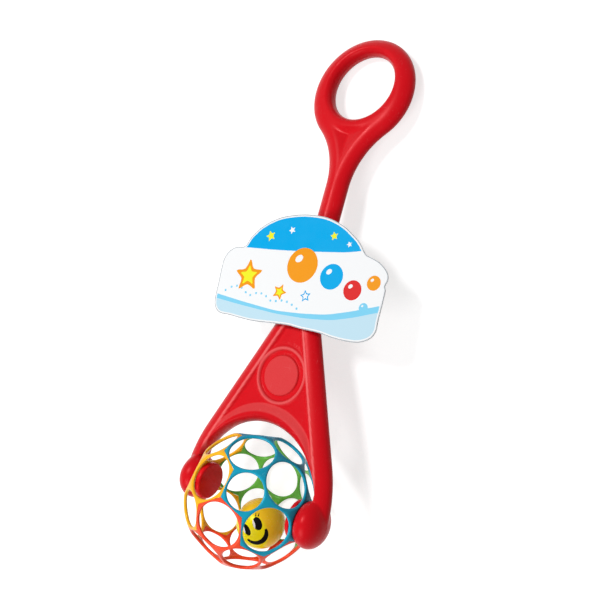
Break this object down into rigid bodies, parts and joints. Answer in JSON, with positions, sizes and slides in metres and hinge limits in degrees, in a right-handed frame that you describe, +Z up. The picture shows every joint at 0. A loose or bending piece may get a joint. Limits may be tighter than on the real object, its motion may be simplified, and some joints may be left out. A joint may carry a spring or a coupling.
{
  "type": "toddler push toy",
  "caption": "Push-along toy: hoop handle whose arms carry an open, round-holed cage ball with a smiling ball loose inside; a die-cut hang tag slides on the stick.",
  "frame": {"origin": "centre of the lying toy's bounding box, on the floor", "axes": "+X along the ball's axle, +Y from the ball to the grip along the floor, +Z up; the toy lies face up on its ball and on the far side of its hoop"},
  "size_m": [0.1954, 0.5318, 0.1278],
  "materials": {
    "red_plastic": "glossy moulded",
    "deep_red_plastic": "glossy moulded",
    "zinc_plated_steel": "zinc plated",
    "orange_plastic": "satin, slightly soft",
    "blue_plastic": "satin, slightly soft",
    "yellow_plastic": "satin, slightly soft",
    "green_plastic": "satin, slightly soft",
    "smiley_plastic": "glossy moulded, printed face",
    "golden_plastic": "glossy moulded",
    "bell_metal": "plain",
    "printed_card": "printed and varnished",
    "grey_card": "uncoated"
  },
  "bodies": {
    "handle": {"handle_front_shell": "red_plastic", "handle_rear_shell": "red_plastic", "handle_screw_1": "zinc_plated_steel", "handle_screw_2": "zinc_plated_steel", "handle_screw_3": "zinc_plated_steel", "handle_screw_4": "zinc_plated_steel", "handle_screw_5": "zinc_plated_steel", "handle_screw_6": "zinc_plated_steel", "handle_screw_7": "zinc_plated_steel", "handle_screw_8": "zinc_plated_steel", "left_axle_journal": "deep_red_plastic", "left_axle_cap": "red_plastic", "left_axle_screw": "zinc_plated_steel", "right_axle_journal": "deep_red_plastic", "right_axle_cap": "red_plastic", "right_axle_screw": "zinc_plated_steel"},
    "ball": {"cage_panel_orange": "orange_plastic", "cage_panel_blue": "blue_plastic", "cage_panel_yellow": "yellow_plastic", "cage_panel_green": "green_plastic"},
    "bell": {"jingle_bell": "bell_metal", "bell_pellet": "zinc_plated_steel"},
    "smiley": {"smiley_face_half": "smiley_plastic", "smiley_back_half": "golden_plastic"},
    "tag": {"tag_card": "printed_card", "tag_strap": "grey_card"}
  },
  "joints": [
    {"name": "ball_spin", "type": "hinge", "parent": "handle", "child": "ball", "pos_m": [0.00572, -0.20237, 0.06395], "axis": [1, 0, 0], "continuous": true},
    {"name": "smiley_orbit", "type": "hinge", "parent": "handle", "child": "bell", "pos_m": [0.00572, -0.20237, 0.06395], "axis": [1, 0, 0], "continuous": true},
    {"name": "smiley_spin", "type": "hinge", "parent": "bell", "child": "smiley", "pos_m": [0.00572, -0.22989, 0.04027], "axis": [1, 0, 0], "continuous": true},
    {"name": "tag_slide", "type": "slide", "parent": "handle", "child": "tag", "axis": [0, 0.9932, -0.1164], "range_m": [0, 0.05]}
  ]
}
